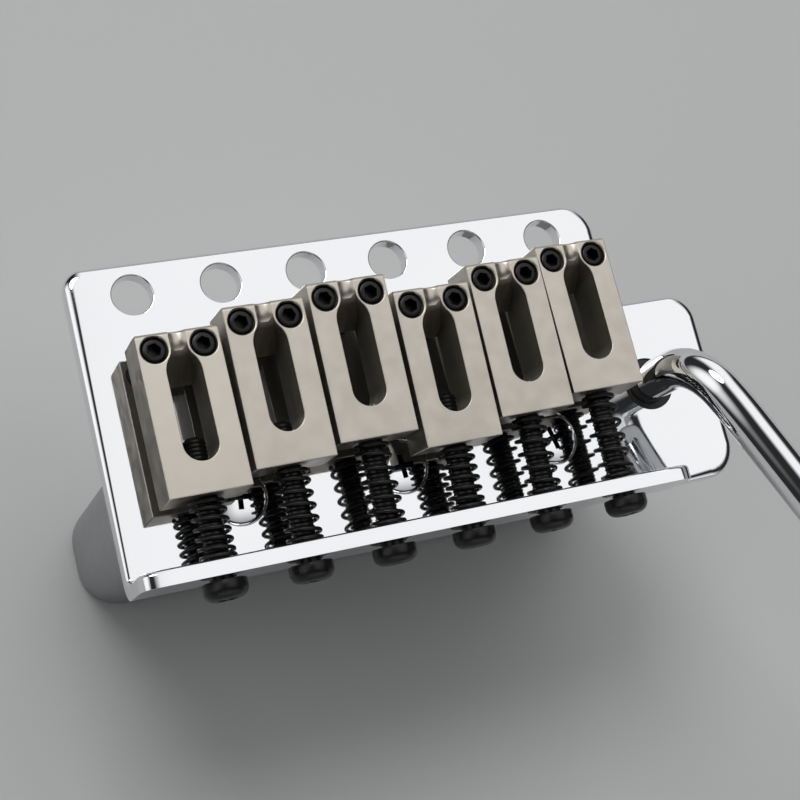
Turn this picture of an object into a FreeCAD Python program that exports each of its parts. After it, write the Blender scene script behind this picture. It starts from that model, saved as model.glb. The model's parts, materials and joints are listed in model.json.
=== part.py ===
# Guitar tremolo bridge: bent plate, block, six sliding saddles and a swinging arm.
# Millimetres. X runs to the arm side, Y to the pivot-screw edge and Z up from the plate's underside.
# The origin is the middle of the line of six pivot holes.
import math
import os

import FreeCAD, Part
import Sketcher

STRINGS = 6
PIVOTS = 6
HOOKS = 5
BLOCK_SCREWS = 3
HEX_SIDES = 6
QUARTERS = 4

# Part of a turn in which each end of a spring eases from straight to coiled
EASE_SHARE = 0.125

# Driving dimensions in millimetres, degrees where the name says so, and coil turns.
DIMENSIONS = {
    # Plate and its bent lip
    "plate_thick": 2.0,
    "plate_side": 8.0,
    "front_margin": 4.15,
    "rear_face": 36.4,
    "lip_height": 10.0,
    "lip_corner": 4.0,
    "bend_inner": 0.6,
    "corner_left": 2.5,
    "corner_right": 4.0,
    "edge_round": 0.6,
    # Ear beside the arm
    "ear_margin": 10.15,
    "ear_fore": 11.5,
    "ear_inset": 0.45,
    "ear_corner_front": 3.6,
    "ear_corner_rear": 4.5,
    "ear_root": 1.0,
    # Pivot holes
    "pivot_pitch": 11.2,
    "pivot_hole": 5.0,
    # Strings and the saddles' row
    "string_pitch": 10.6,
    "string_offset": 0.6,
    "string_line": 20.6,
    "string_hole": 3.0,
    "string_radius": 184.0,
    # Block under the plate
    "block_height": 38.0,
    "block_thick": 14.4,
    "block_inset": 1.4,
    "block_corner": 5.5,
    "block_round": 0.8,
    "string_edge": 3.0,
    "ball_bore": 4.0,
    "ball_stop": 12.0,
    "hook_pitch": 10.5,
    "hook_line": 28.2,
    "hook_hole": 3.2,
    "hook_depth": 9.0,
    "socket_wall": 3.0,
    # Screws from the plate into the block
    "block_screw_line": 26.8,
    "block_screw": 4.0,
    "block_screw_head": 7.0,
    "block_screw_length": 11.0,
    "head_sink": 0.05,
    # Saddle
    "saddle_gap": 0.56,
    "saddle_length": 19.6,
    "saddle_height": 6.4,
    "saddle_clear": 2.1,
    "slot_width": 4.2,
    "rear_wall": 3.8,
    "throat_round": 3.0,
    "mouth_width": 3.0,
    "crown_drop": 0.8,
    "crown_round": 0.9,
    "ramp_degrees": 58.0,
    "front_chamfer": 0.6,
    "boss_wall": 0.45,
    "boss_inset": 0.05,
    "boss_setback": 0.05,
    # Distance of each saddle's front face behind the pivot holes
    "setback_1": 7.4,
    "setback_2": 5.7,
    "setback_3": 4.4,
    "setback_4": 6.8,
    "setback_5": 4.8,
    "setback_6": 3.5,
    # Height screws
    "height_screw": 3.0,
    "height_screw_sink": 0.3,
    "hex_flats": 1.5,
    "hex_depth": 1.6,
    "tip_chamfer": 0.4,
    "tip_gap": 0.3,
    # Intonation screws and springs
    "screw_rise": 4.6,
    "screw_size": 3.0,
    "screw_length": 17.0,
    "screw_head": 5.4,
    "screw_head_height": 2.2,
    "screw_head_round": 1.3,
    "head_gap": 0.35,
    "lip_hole": 3.3,
    "spring_wire": 0.5,
    "spring_mean": 4.0,
    "spring_turns": 5.5,
    "spring_ease": 0.65,
    "spring_gap": 0.1,
    # Arm, its bush and its tip
    "arm_clear": 2.93,
    "arm_back": 22.0,
    "arm_size": 5.2,
    "arm_turn_degrees": -66.5,
    "arm_leg_below": 15.0,
    "arm_leg_above": 8.5,
    "arm_bend": 6.8,
    "arm_bend_degrees": 80.0,
    "arm_sweep": 55.0,
    "arm_sweep_degrees": 6.0,
    "arm_straight": 58.0,
    "arm_dip": 60.0,
    "arm_dip_degrees": 10.0,
    "arm_end": 24.0,
    "bush_size": 7.0,
    "bush_length": 19.0,
    "bush_sink": 0.3,
    "tip_size": 8.0,
    "tip_length": 22.0,
    "tip_cover": 17.0,
    "tip_round": 3.2,
    # Fits
    "running": 0.05,
    "overrun": 5.0,
}

doc = FreeCAD.newDocument("TremoloBridge")


# Spreadsheet of the driving dimensions

def make_sheet():
    sheet = doc.addObject("Spreadsheet::Sheet", "dims")
    for row, (alias, value) in enumerate(DIMENSIONS.items(), start=1):
        sheet.set("A%d" % row, alias)
        sheet.set("B%d" % row, str(value))
        sheet.setAlias("B%d" % row, alias)
    doc.recompute()
    return sheet


SHEET = make_sheet()


def size(name):
    return float(SHEET.get(name))


def value_of(expression):
    """Number that an expression of sheet aliases stands for."""
    return float(SHEET.evalExpression(expression.replace("dims.", "")))


# Sketch helpers: every corner and centre is tied to the sheet

def new_body(label):
    body = doc.addObject("PartDesign::Body", label)
    body.Label = label
    body.AllowCompound = True
    return body


def new_sketch(body, name, role, lift=None):
    sketch = body.newObject("Sketcher::SketchObject", name)
    plane = [feature for feature in body.Origin.OriginFeatures if feature.Role == role][0]
    sketch.AttachmentSupport = (plane, [""])
    sketch.MapMode = "FlatFace"
    if lift is not None:
        sketch.setExpression("AttachmentOffset.Base.z", lift)
    return sketch


def tie_point(sketch, geometry, end, across, along):
    """Fixes a point of a sketch at two expressions, measured from the sketch's origin."""
    for kind, axis, expression in (("DistanceX", -2, across), ("DistanceY", -1, along)):
        value = value_of(expression)
        if value == 0:
            sketch.addConstraint(Sketcher.Constraint("PointOnObject", geometry, end, axis))
            continue
        if value > 0:
            tie = sketch.addConstraint(Sketcher.Constraint(kind, -1, 1, geometry, end, value))
            sketch.setExpression("Constraints[%d]" % tie, expression)
        else:
            tie = sketch.addConstraint(Sketcher.Constraint(kind, geometry, end, -1, 1, -value))
            sketch.setExpression("Constraints[%d]" % tie, "-(%s)" % expression)


def add_polygon(sketch, corners):
    points = [FreeCAD.Vector(value_of(across), value_of(along), 0) for across, along in corners]
    first = sketch.GeometryCount
    for place, point in enumerate(points):
        following = points[(place + 1) % len(points)]
        sketch.addGeometry(Part.LineSegment(point, following), False)
    for place, (across, along) in enumerate(corners):
        before = first + (place - 1) % len(corners)
        sketch.addConstraint(Sketcher.Constraint("Coincident", before, 2, first + place, 1))
        tie_point(sketch, first + place, 1, across, along)


def add_circle(sketch, across, along, radius):
    centre = FreeCAD.Vector(value_of(across), value_of(along), 0)
    circle = Part.Circle(centre, FreeCAD.Vector(0, 0, 1), value_of(radius))
    place = sketch.addGeometry(circle, False)
    tie_point(sketch, place, 3, across, along)
    tie = sketch.addConstraint(Sketcher.Constraint("Radius", place, value_of(radius)))
    sketch.setExpression("Constraints[%d]" % tie, radius)


def rectangle(left, right, rear, front):
    return [(left, rear), (right, rear), (right, front), (left, front)]


# Feature helpers

def check(piece):
    if "Invalid" in piece.State or "Error" in piece.State:
        raise RuntimeError(piece.Label + ": " + ", ".join(piece.State))
    if piece.Shape.isNull() or not piece.Shape.isValid():
        raise RuntimeError(piece.Label + ": shape is not valid")


def extrude(body, kind, sketch, length, second=None, symmetric=False, backwards=False, taper=None):
    feature = body.newObject("PartDesign::" + kind, sketch.Name + kind)
    feature.Profile = sketch
    feature.setExpression("Length", length)
    feature.Reversed = backwards
    if second is not None:
        feature.SideType = "Two sides"
        feature.setExpression("Length2", second)
    if symmetric:
        feature.SideType = "Symmetric"
    if taper is not None:
        feature.TaperAngle = taper
    doc.recompute()
    check(feature)
    return feature


def pocket(body, sketch, length, **options):
    """A pocket that must take material away."""
    before = body.Shape.Volume
    feature = extrude(body, "Pocket", sketch, length, **options)
    if body.Shape.Volume >= before:
        raise RuntimeError(body.Label + ": " + sketch.Name + " cut nothing")
    return feature


def edge_names(shape, wanted):
    return ["Edge%d" % place for place, edge in enumerate(shape.Edges, start=1) if wanted(edge)]


def dress(body, kind, name, field, expression, wanted):
    """Fillet or chamfer on the edges of the body's tip that pass the test."""
    base = body.Tip
    names = edge_names(base.Shape, wanted)
    if not names:
        raise RuntimeError(body.Label + ": no edge for " + name)
    feature = body.newObject("PartDesign::" + kind, name)
    feature.Base = (base, names)
    feature.setExpression(field, expression)
    doc.recompute()
    check(feature)
    return feature


def near(first, second):
    return math.isclose(first, second, rel_tol=0, abs_tol=size("plate_thick") / 1000)


def along_x(edge, y, z):
    box = edge.BoundBox
    flat = near(box.YMin, y) and near(box.YMax, y) and near(box.ZMin, z) and near(box.ZMax, z)
    return flat and box.XLength > 0


def along_y(edge, x, z):
    box = edge.BoundBox
    flat = near(box.XMin, x) and near(box.XMax, x) and near(box.ZMin, z) and near(box.ZMax, z)
    return flat and box.YLength > 0


def along_z(edge, x, y):
    box = edge.BoundBox
    return near(box.XMin, x) and near(box.XMax, x) and near(box.YMin, y) and near(box.YMax, y)


def ring_at(edge, z, radius):
    box = edge.BoundBox
    if not (edge.isClosed() and near(box.ZMin, z) and near(box.ZMax, z)):
        return False
    return isinstance(edge.Curve, Part.Circle) and near(edge.Curve.Radius, radius)


# Places shared by several pieces

def row_place(count, place, pitch):
    """Place of one of a row of features spread evenly about zero, as an expression."""
    return "(%s * %g)" % (pitch, place - (count - 1) / 2)


def string_place(string):
    return "(dims.string_offset + %s)" % row_place(STRINGS, string, "dims.string_pitch")


LAST_PIVOT = row_place(PIVOTS, PIVOTS - 1, "dims.pivot_pitch")
PLATE_HALF = "(%s + dims.plate_side)" % LAST_PIVOT
LIP_INNER = "dims.rear_face - dims.plate_thick"
LIP_MIDDLE = "(dims.rear_face - dims.plate_thick / 2)"
SADDLE_WIDTH = "(dims.string_pitch - dims.saddle_gap)"
SADDLE_LOW = "(dims.screw_rise - dims.saddle_clear)"
SADDLE_TOP = "(dims.saddle_height - %s)" % SADDLE_LOW
HEIGHT_BORE = "(dims.height_screw / 2 + dims.running)"
BOSS_RADIUS = "(dims.height_screw / 2 + dims.running + dims.boss_wall)"
BOSS_ACROSS = "(%s / 2 - %s - dims.boss_inset)" % (SADDLE_WIDTH, BOSS_RADIUS)
SADDLES_RIGHT = "(%s + %s / 2)" % (string_place(STRINGS - 1), SADDLE_WIDTH)
ARM_ACROSS = "(%s + dims.arm_clear + dims.arm_size / 2)" % SADDLES_RIGHT
EAR_RIGHT = "(%s + dims.ear_margin)" % ARM_ACROSS
EAR_FRONT = "(dims.arm_back - dims.ear_fore)"
EAR_REAR = "(dims.rear_face - dims.ear_inset)"
BLOCK_FRONT = "(dims.string_line - dims.string_edge)"
BLOCK_RIGHT = "(%s + dims.bush_size / 2 + dims.running + dims.socket_wall)" % ARM_ACROSS


def block_screw_place(screw):
    return "(dims.string_offset + 2 * %s)" % row_place(BLOCK_SCREWS, screw, "dims.string_pitch")


def saddle_front(string):
    """Distance of a saddle's front face before its pivot in the lip, as an expression."""
    return "(%s - dims.setback_%d)" % (LIP_MIDDLE, string + 1)


def boss_along(string):
    return "(%s - %s - dims.boss_setback)" % (saddle_front(string), BOSS_RADIUS)


def saddle_tilt(string):
    """Lean of a saddle, in degrees, that lifts its front to the strings' common radius."""
    outer = row_place(STRINGS, 0, "dims.string_pitch")
    own = row_place(STRINGS, string, "dims.string_pitch")
    rise = value_of("(%s * %s - %s * %s) / (2 * dims.string_radius)" % (outer, outer, own, own))
    return math.degrees(math.atan2(rise, value_of(saddle_front(string))))


def saddle_placement(string):
    """Frame of one saddle's set: the screw's axis at the middle of the lip, leaning with the saddle."""
    base = FreeCAD.Vector(
        value_of(string_place(string)),
        -value_of(LIP_MIDDLE),
        value_of("dims.plate_thick + dims.screw_rise"),
    )
    lean = FreeCAD.Rotation(FreeCAD.Vector(1, 0, 0), saddle_tilt(string))
    return FreeCAD.Placement(base, lean)


# Base plate

def bent_lip(body):
    bend_outer = "dims.plate_thick + dims.bend_inner"
    bend_start = "-(%s - (%s) - dims.plate_thick)" % ("dims.rear_face", bend_outer)
    section = new_sketch(body, "LipSection", "YZ_Plane")
    add_polygon(section, [
        (bend_start, "0"),
        ("-dims.rear_face", "0"),
        ("-dims.rear_face", "dims.lip_height"),
        ("-(%s)" % LIP_INNER, "dims.lip_height"),
        ("-(%s)" % LIP_INNER, "dims.plate_thick"),
        (bend_start, "dims.plate_thick"),
    ])
    extrude(body, "Pad", section, "2 * " + PLATE_HALF, symmetric=True)
    rear = -size("rear_face")
    inner = -value_of(LIP_INNER)
    half = value_of(PLATE_HALF)
    dress(body, "Fillet", "OuterBend", "Radius", bend_outer, lambda edge: along_x(edge, rear, 0))
    dress(body, "Fillet", "InnerBend", "Radius", "dims.bend_inner",
          lambda edge: along_x(edge, inner, size("plate_thick")))
    dress(body, "Fillet", "LipCorners", "Radius", "dims.lip_corner",
          lambda edge: along_y(edge, half, size("lip_height")) or along_y(edge, -half, size("lip_height")))
    return bend_start


def flat_plate(body, bend_start):
    outline = new_sketch(body, "Outline", "XY_Plane")
    add_polygon(outline, [
        ("-" + PLATE_HALF, bend_start),
        (PLATE_HALF, bend_start),
        (PLATE_HALF, "-" + EAR_REAR),
        (EAR_RIGHT, "-" + EAR_REAR),
        (EAR_RIGHT, "-" + EAR_FRONT),
        (PLATE_HALF, "-" + EAR_FRONT),
        (PLATE_HALF, "dims.front_margin"),
        ("-" + PLATE_HALF, "dims.front_margin"),
    ])
    extrude(body, "Pad", outline, "dims.plate_thick")
    corners = {
        "corner_left": ("-" + PLATE_HALF, "dims.front_margin"),
        "corner_right": (PLATE_HALF, "dims.front_margin"),
        "ear_root": (PLATE_HALF, "-" + EAR_FRONT),
        "ear_corner_front": (EAR_RIGHT, "-" + EAR_FRONT),
        "ear_corner_rear": (EAR_RIGHT, "-" + EAR_REAR),
    }
    for alias, (across, along) in corners.items():
        x, y = value_of(across), value_of(along)
        dress(body, "Fillet", "Round_" + alias, "Radius", "dims." + alias,
              lambda edge: along_z(edge, x, y))


def plate_edges(body):
    """Soft top edges that run round the plate and on over the lip's inner side."""
    front = size("front_margin")
    dress(body, "Fillet", "SoftEdges", "Radius", "dims.edge_round",
          lambda edge: along_x(edge, front, size("plate_thick")))


def plate_holes(body):
    through = "dims.plate_thick + dims.overrun"
    pivots = new_sketch(body, "PivotHoles", "XY_Plane")
    for hole in range(PIVOTS):
        add_circle(pivots, row_place(PIVOTS, hole, "dims.pivot_pitch"), "0", "dims.pivot_hole / 2")
    pocket(body, pivots, through, backwards=True)
    strings = new_sketch(body, "StringHoles", "XY_Plane")
    for string in range(STRINGS):
        add_circle(strings, string_place(string), "-dims.string_line", "dims.string_hole / 2")
    pocket(body, strings, through, backwards=True)
    arm = new_sketch(body, "ArmHole", "XY_Plane")
    add_circle(arm, ARM_ACROSS, "-dims.arm_back", "dims.bush_size / 2 + dims.running")
    pocket(body, arm, through, backwards=True)
    screws = new_sketch(body, "ScrewHoles", "XY_Plane")
    bore = "dims.block_screw / 2 + dims.running"
    for screw in range(BLOCK_SCREWS):
        add_circle(screws, block_screw_place(screw), "-dims.block_screw_line", bore)
    pocket(body, screws, through, backwards=True)
    dress(body, "Chamfer", "Countersinks", "Size", "(dims.block_screw_head - dims.block_screw) / 2",
          lambda edge: ring_at(edge, size("plate_thick"), value_of(bore)))
    lip = new_sketch(body, "LipHoles", "XZ_Plane")
    for string in range(STRINGS):
        add_circle(lip, string_place(string), "dims.plate_thick + dims.screw_rise", "dims.lip_hole / 2")
    pocket(body, lip, "dims.rear_face + dims.overrun", backwards=True)


def make_base_plate():
    body = new_body("base_plate")
    bend_start = bent_lip(body)
    flat_plate(body, bend_start)
    plate_edges(body)
    plate_holes(body)
    return body


# Block and the screws that hold the plate on it

def make_tremolo_block():
    body = new_body("tremolo_block")
    left = "-(%s - dims.block_inset)" % PLATE_HALF
    rear = "-(%s + dims.block_thick)" % BLOCK_FRONT
    outline = new_sketch(body, "BlockOutline", "XY_Plane")
    add_polygon(outline, rectangle(left, BLOCK_RIGHT, rear, "-" + BLOCK_FRONT))
    extrude(body, "Pad", outline, "dims.block_height", backwards=True)
    corners = [(value_of(x), value_of(y)) for x in (left, BLOCK_RIGHT) for y in (rear, "-" + BLOCK_FRONT)]
    dress(body, "Fillet", "BlockCorners", "Radius", "dims.block_corner",
          lambda edge: any(along_z(edge, x, y) for x, y in corners))
    dress(body, "Fillet", "BlockRound", "Radius", "dims.block_round",
          lambda edge: along_x(edge, value_of(rear), -size("block_height")))
    block_bores(body)
    return body


def block_bores(body):
    strings = new_sketch(body, "StringBores", "XY_Plane")
    balls = new_sketch(body, "BallBores", "XY_Plane", "-dims.block_height")
    for string in range(STRINGS):
        add_circle(strings, string_place(string), "-dims.string_line", "dims.string_hole / 2")
        add_circle(balls, string_place(string), "-dims.string_line", "dims.ball_bore / 2")
    pocket(body, strings, "dims.block_height + dims.overrun")
    pocket(body, balls, "dims.block_height - dims.ball_stop", backwards=True)
    hooks = new_sketch(body, "HookHoles", "XY_Plane", "-dims.block_height")
    for hook in range(HOOKS):
        place = "(dims.string_offset + %s)" % row_place(HOOKS, hook, "dims.hook_pitch")
        add_circle(hooks, place, "-dims.hook_line", "dims.hook_hole / 2")
    pocket(body, hooks, "dims.hook_depth", backwards=True)
    socket = new_sketch(body, "ArmSocket", "XY_Plane")
    add_circle(socket, ARM_ACROSS, "-dims.arm_back", "dims.bush_size / 2 + dims.running")
    pocket(body, socket, "dims.bush_length - dims.plate_thick + dims.bush_sink + dims.running")
    taps = new_sketch(body, "TappedHoles", "XY_Plane")
    for screw in range(BLOCK_SCREWS):
        add_circle(taps, block_screw_place(screw), "-dims.block_screw_line",
                   "dims.block_screw / 2 + dims.running")
    pocket(body, taps, "dims.block_screw_length")


def make_block_screws():
    """Three countersunk screws: a tapering head on a plain shank."""
    body = new_body("block_screws")
    head_top = "dims.plate_thick - dims.head_sink"
    head_fall = "(dims.block_screw_head - dims.block_screw) / 2"
    shanks = new_sketch(body, "Shanks", "XY_Plane", head_top)
    heads = new_sketch(body, "Heads", "XY_Plane", head_top)
    for screw in range(BLOCK_SCREWS):
        place = block_screw_place(screw)
        add_circle(shanks, place, "-dims.block_screw_line", "dims.block_screw / 2")
        add_circle(heads, place, "-dims.block_screw_line", "dims.block_screw_head / 2 - dims.running")
    extrude(body, "Pad", shanks, "dims.block_screw_length", backwards=True)
    extrude(body, "Pad", heads, head_fall, backwards=True, taper=-45)
    return body


# Saddles and what rides with each

def saddle_block(body, string):
    half = SADDLE_WIDTH + " / 2"
    front = saddle_front(string)
    rear = "(%s - dims.saddle_length)" % front
    outline = new_sketch(body, "SaddleOutline%d" % string, "XY_Plane")
    add_polygon(outline, rectangle("-" + half, half, rear, front))
    extrude(body, "Pad", outline, SADDLE_TOP, second=SADDLE_LOW)
    slot_rear = "(%s + dims.rear_wall + dims.slot_width / 2)" % rear
    depth = "dims.saddle_height + dims.overrun"
    slot = new_sketch(body, "Slot%d" % string, "XY_Plane", SADDLE_TOP)
    side = "dims.slot_width / 2"
    mouth = "dims.mouth_width / 2"
    ahead = "(%s + dims.overrun)" % front
    waist = boss_along(string)
    add_polygon(slot, [
        ("-" + side, slot_rear), (side, slot_rear), (side, waist), (mouth, waist),
        (mouth, ahead), ("-" + mouth, ahead), ("-" + mouth, waist), ("-" + side, waist),
    ])
    pocket(body, slot, depth)
    slot_end = new_sketch(body, "SlotEnd%d" % string, "XY_Plane", SADDLE_TOP)
    add_circle(slot_end, "0", slot_rear, side)
    pocket(body, slot_end, depth)
    screw = new_sketch(body, "ScrewBore%d" % string, "XZ_Plane")
    add_circle(screw, "0", "0", "dims.screw_size / 2 + dims.running")
    pocket(body, screw, slot_rear)


def saddle_bosses(body, string):
    """Round bosses for the height screws; the slot narrows towards them in a smooth throat."""
    bosses = new_sketch(body, "Bosses%d" % string, "XY_Plane")
    for sign in ("-", ""):
        add_circle(bosses, sign + BOSS_ACROSS, boss_along(string), BOSS_RADIUS)
    extrude(body, "Pad", bosses, SADDLE_TOP, second=SADDLE_LOW)
    side = value_of("dims.slot_width / 2")
    inset = value_of("%s - dims.slot_width / 2" % BOSS_ACROSS)
    meet = value_of(boss_along(string)) - math.sqrt(value_of(BOSS_RADIUS) ** 2 - inset ** 2)
    dress(body, "Fillet", "Throat%d" % string, "Radius", "dims.throat_round",
          lambda edge: along_z(edge, side, meet) or along_z(edge, -side, meet))


def saddle_crown(body, string):
    """Round crown between the bosses, with a ramp behind it that the string comes up along."""
    front = saddle_front(string)
    slope = "(dims.ramp_degrees * 1 deg)"
    middle = "(%s - dims.crown_round)" % front
    height = "(%s - dims.crown_drop - dims.crown_round)" % SADDLE_TOP
    brow = "(%s - dims.crown_round * sin(%s))" % (middle, slope)
    brow_height = "(%s + dims.crown_round * cos(%s))" % (height, slope)
    toe = "(%s - (%s + %s) / tan(%s))" % (brow, brow_height, SADDLE_LOW, slope)
    low = "-" + SADDLE_LOW
    ramp = new_sketch(body, "Ramp%d" % string, "YZ_Plane")
    add_polygon(ramp, [(toe, low), (front, low), (front, height), (brow, brow_height)])
    extrude(body, "Pad", ramp, "2 * " + BOSS_ACROSS, symmetric=True)
    crown = new_sketch(body, "Crown%d" % string, "YZ_Plane")
    add_circle(crown, middle, height, "dims.crown_round")
    extrude(body, "Pad", crown, "2 * " + BOSS_ACROSS, symmetric=True)


def saddle_front_end(body, string):
    saddle_bosses(body, string)
    saddle_crown(body, string)
    front = value_of(saddle_front(string))
    dress(body, "Chamfer", "FrontEdge%d" % string, "Size", "dims.front_chamfer",
          lambda edge: along_x(edge, front, value_of(SADDLE_TOP)))
    bores = new_sketch(body, "HeightBores%d" % string, "XY_Plane", SADDLE_TOP)
    for sign in ("-", ""):
        add_circle(bores, sign + BOSS_ACROSS, boss_along(string), HEIGHT_BORE)
    pocket(body, bores, "dims.saddle_height + dims.overrun")


def make_saddle(string):
    body = new_body("saddle_%d" % (string + 1))
    saddle_block(body, string)
    saddle_front_end(body, string)
    body.Placement = saddle_placement(string)
    return body


def grub_tip(string):
    """Height of a grub's tip in the saddle's leaning frame, as an expression."""
    lean = saddle_tilt(string)
    lowest = "(%s - dims.height_screw / 2)" % boss_along(string)
    drop = "(dims.screw_rise - dims.tip_gap)"
    return "(-(%s + %s * sin(%.9f deg)) / cos(%.9f deg))" % (drop, lowest, lean, lean)


def make_height_screws(string):
    """Two grub screws with hex sockets, from just over the plate to just under the saddle's top."""
    body = new_body("height_screws_%d" % (string + 1))
    tip = grub_tip(string)
    length = "(%s - dims.height_screw_sink - %s)" % (SADDLE_TOP, tip)
    screws = new_sketch(body, "Grubs%d" % string, "XY_Plane")
    sockets = new_sketch(body, "Sockets%d" % string, "XY_Plane", length)
    corner = "(dims.hex_flats / 2 / cos(30 deg))"
    for sign in ("-", ""):
        across = sign + BOSS_ACROSS
        add_circle(screws, across, boss_along(string), "dims.height_screw / 2")
        add_polygon(sockets, [
            ("%s + %s * cos(%d deg)" % (across, corner, side * 360 / HEX_SIDES),
             "%s + %s * sin(%d deg)" % (boss_along(string), corner, side * 360 / HEX_SIDES))
            for side in range(HEX_SIDES)
        ])
    extrude(body, "Pad", screws, length)
    dress(body, "Chamfer", "GrubTips%d" % string, "Size", "dims.tip_chamfer",
          lambda edge: ring_at(edge, 0, size("height_screw") / 2))
    pocket(body, sockets, "dims.hex_depth")
    lift = FreeCAD.Vector(0, 0, value_of(tip))
    body.Placement = saddle_placement(string) * FreeCAD.Placement(lift, FreeCAD.Rotation())
    return body


def make_intonation_screw(string):
    """Pan-head screw turned about its axis, its head behind the lip."""
    body = new_body("intonation_screw_%d" % (string + 1))
    under = "-(dims.plate_thick / 2 + dims.head_gap)"
    back = "(%s - dims.screw_head_height)" % under
    tip = "(%s + dims.screw_length)" % under
    shank = "dims.screw_size / 2"
    head = "dims.screw_head / 2"
    profile = new_sketch(body, "ScrewProfile%d" % string, "XY_Plane")
    add_polygon(profile, [("0", tip), ("0", back), (head, back), (head, under), (shank, under), (shank, tip)])
    turned = body.newObject("PartDesign::Revolution", "Turned%d" % string)
    turned.Profile = profile
    turned.ReferenceAxis = (profile, ["V_Axis"])
    turned.Angle = 360
    doc.recompute()
    rim, end = value_of(back), value_of(tip)
    dress(body, "Fillet", "Dome%d" % string, "Radius", "dims.screw_head_round",
          lambda edge: near(edge.BoundBox.YMin, rim) and near(edge.BoundBox.YMax, rim))
    dress(body, "Chamfer", "Tip%d" % string, "Size", "dims.tip_chamfer",
          lambda edge: near(edge.BoundBox.YMin, end) and near(edge.BoundBox.YMax, end))
    body.Placement = saddle_placement(string)
    return body


# Coil springs: one wire each, laid along arcs

def biarc(start, leave, finish, arrive):
    """Two arcs that join two points with the given directions."""
    chord = finish - start
    blend = leave + arrive
    slack = 2 * (1 - leave.dot(arrive))
    lead = chord.dot(blend)
    reach = (-lead + math.sqrt(lead * lead + slack * chord.dot(chord))) / slack
    middle = (start + finish + (leave - arrive) * reach) * (1 / 2)
    return [arc_from(start, leave, middle), arc_from(finish, -arrive, middle).reversed()]


def arc_from(start, leave, finish):
    """Arc from a point along a direction to a second point."""
    chord = finish - start
    sideways = chord - leave * chord.dot(leave)
    radius = chord.dot(chord) / (2 * sideways.Length)
    normal = sideways.normalize()
    centre = start + normal * radius
    half_turn = math.atan2(chord.dot(normal), chord.dot(leave))
    mid = centre + leave * (radius * math.sin(half_turn)) - normal * (radius * math.cos(half_turn))
    return Part.Arc(start, mid, finish).toShape()


def helix_point(turn, height, slope):
    """Point and direction on the coil after some turns from its first end; the coil runs along Y."""
    radius = size("spring_mean") / 2
    angle = 2 * math.pi * turn
    point = FreeCAD.Vector(radius * math.cos(angle), height, radius * math.sin(angle))
    ahead = FreeCAD.Vector(-radius * math.sin(angle), slope / (2 * math.pi), radius * math.cos(angle))
    return point, ahead.normalize()


def spring_path(length):
    """Straight end, easing bend, turns in quarter steps, easing bend, straight end."""
    turns = size("spring_turns")
    lead_in = value_of("dims.spring_wire + dims.spring_ease")
    coiled = turns - 2 * EASE_SHARE
    pitch = (length - 2 * lead_in) / coiled
    steps = round(coiled * QUARTERS)
    stations = [
        helix_point(EASE_SHARE + coiled * step / steps, lead_in + pitch * coiled * step / steps, pitch)
        for step in range(steps + 1)
    ]
    forward = FreeCAD.Vector(0, 1, 0)
    straight = forward * size("spring_wire")
    first, _ = helix_point(0, 0, pitch)
    last, _ = helix_point(turns, length, pitch)
    stations = [(first + straight, forward)] + stations + [(last - straight, forward)]
    edges = [Part.makeLine(first, first + straight)]
    for (point, leave), (following, arrive) in zip(stations, stations[1:]):
        edges += biarc(point, leave, following, arrive)
    edges.append(Part.makeLine(last - straight, last))
    return edges


def least_gap(path):
    """Least distance between surfaces of turns that lie side by side."""
    wire = size("spring_wire")
    points = path.discretize(Number=600)
    step = path.Length / len(points)
    apart = math.ceil(math.pi * wire * 2 / step)
    nearest = min(
        (points[one] - points[other]).Length
        for one in range(len(points))
        for other in range(one + apart, len(points))
    )
    return nearest - wire


def make_intonation_spring(string):
    room = value_of("%s - dims.saddle_length - dims.plate_thick / 2 - 2 * dims.spring_gap"
                    % saddle_front(string))
    edges = spring_path(room)
    path = Part.Wire(edges)
    gap = least_gap(path)
    tightest = min(edge.Curve.Radius for edge in edges if isinstance(edge.Curve, Part.Circle))
    print("spring %d: least gap %.2f mm, tightest bend %.2f mm" % (string + 1, gap, tightest))
    start = edges[0].valueAt(edges[0].FirstParameter)
    ring = Part.Wire(Part.Circle(start, FreeCAD.Vector(0, 1, 0), size("spring_wire") / 2).toShape())
    shell = Part.BRepOffsetAPI.MakePipeShell(path)
    shell.add(ring)
    shell.build()
    shell.makeSolid()
    spring = doc.addObject("Part::Feature", "intonation_spring_%d" % (string + 1))
    spring.Label = spring.Name
    spring.Shape = shell.shape()
    seat = FreeCAD.Vector(0, value_of("dims.plate_thick / 2 + dims.spring_gap"), 0)
    spring.Placement = saddle_placement(string) * FreeCAD.Placement(seat, FreeCAD.Rotation())
    return spring


# Arm: rod, bush and tip

def arm_frame():
    """Frame at the arm's hole in the plate's underside, turned to where the arm points."""
    base = FreeCAD.Vector(value_of(ARM_ACROSS), -size("arm_back"), 0)
    return FreeCAD.Placement(base, FreeCAD.Rotation(FreeCAD.Vector(0, 0, 1), size("arm_turn_degrees")))


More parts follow.
